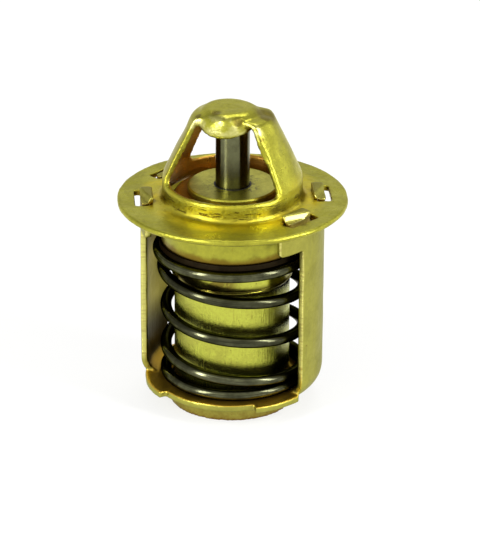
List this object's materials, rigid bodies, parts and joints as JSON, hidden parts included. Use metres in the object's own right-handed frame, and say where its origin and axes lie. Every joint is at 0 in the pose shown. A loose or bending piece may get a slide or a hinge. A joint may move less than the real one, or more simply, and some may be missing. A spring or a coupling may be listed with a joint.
{
  "type": "engine thermostat",
  "caption": "Insert-type engine thermostat: round flange with a bridge over a steel pin, and a sprung wax element in a two-legged cage.",
  "frame": {"origin": "centre of the outline at the bottom edge of the frame's lip, which is what the thermostat stands on", "axes": "+Z along the pin towards the crown; the frame's legs lie on -X and +X and its open windows face -Y and +Y"},
  "size_m": [0.04, 0.04, 0.0545],
  "materials": {
    "flange_brass": "satin, lightly tarnished",
    "frame_brass": "satin",
    "valve_brass": "satin",
    "turned_brass": "turned, tarnished",
    "capsule_brass": "brushed",
    "ground_steel": "ground",
    "spring_steel": "drawn wire",
    "dark_steel": "dark, dull",
    "black_rubber": "matt",
    "copper_wax": "dull",
    "white_plastic": "dull"
  },
  "bodies": {
    "housing": {"flange_bridge": "flange_brass", "lower_frame": "frame_brass", "piston_pin": "ground_steel", "return_spring": "spring_steel"},
    "valve": {"valve_cup": "valve_brass", "element_guide": "turned_brass", "pin_seal": "black_rubber", "spring_seat": "dark_steel", "capsule_cup": "capsule_brass", "rubber_boot": "black_rubber", "wax_charge": "copper_wax", "backup_washer": "white_plastic"}
  },
  "joints": [
    {"name": "valve_lift", "type": "slide", "parent": "housing", "child": "valve", "axis": [0, 0, -1], "range_m": [0, 0.008], "stiffness_N_per_m": 600, "springref_m": -0.005, "deforming": ["return_spring"]}
  ]
}
